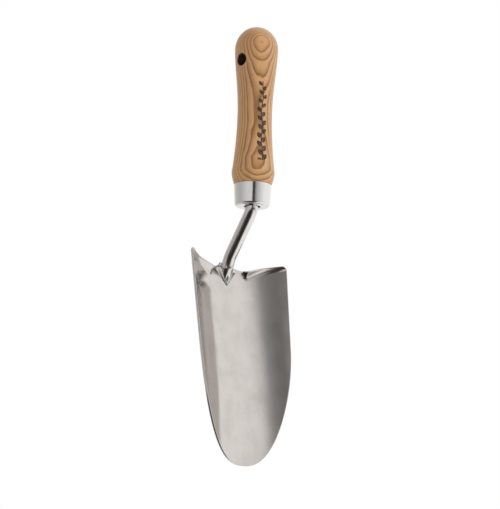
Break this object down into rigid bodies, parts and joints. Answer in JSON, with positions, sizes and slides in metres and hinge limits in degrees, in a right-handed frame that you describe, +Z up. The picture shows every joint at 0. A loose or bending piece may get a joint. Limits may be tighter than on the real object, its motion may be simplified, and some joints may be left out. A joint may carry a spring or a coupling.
{
  "type": "hand transplanter",
  "caption": "Hand transplanter with a turned ash handle, a drawn steel ferrule, a cranked round neck and a broad dished stainless blade with turned shoulders.",
  "frame": {"origin": "under the middle of the tool's box, at the level of the blade's tip", "axes": "+Z up along the handle, -Y out of the blade's hollow face, +X across the blade"},
  "size_m": [0.0908, 0.0507, 0.3306],
  "materials": {
    "ash": "open-grained ash, lacquered to a satin",
    "ferrule_steel": "mirror-polished stainless steel",
    "resin": "set amber resin, hidden inside the handle",
    "neck_steel": "mirror-polished stainless steel bar",
    "blade_steel": "stainless steel polished along its length",
    "weld_steel": "weld bead dressed and polished"
  },
  "bodies": {
    "root": {"handle": "ash", "ferrule": "ferrule_steel", "tang_resin": "resin", "neck": "neck_steel", "blade": "blade_steel", "neck_weld": "weld_steel"}
  },
  "joints": []
}
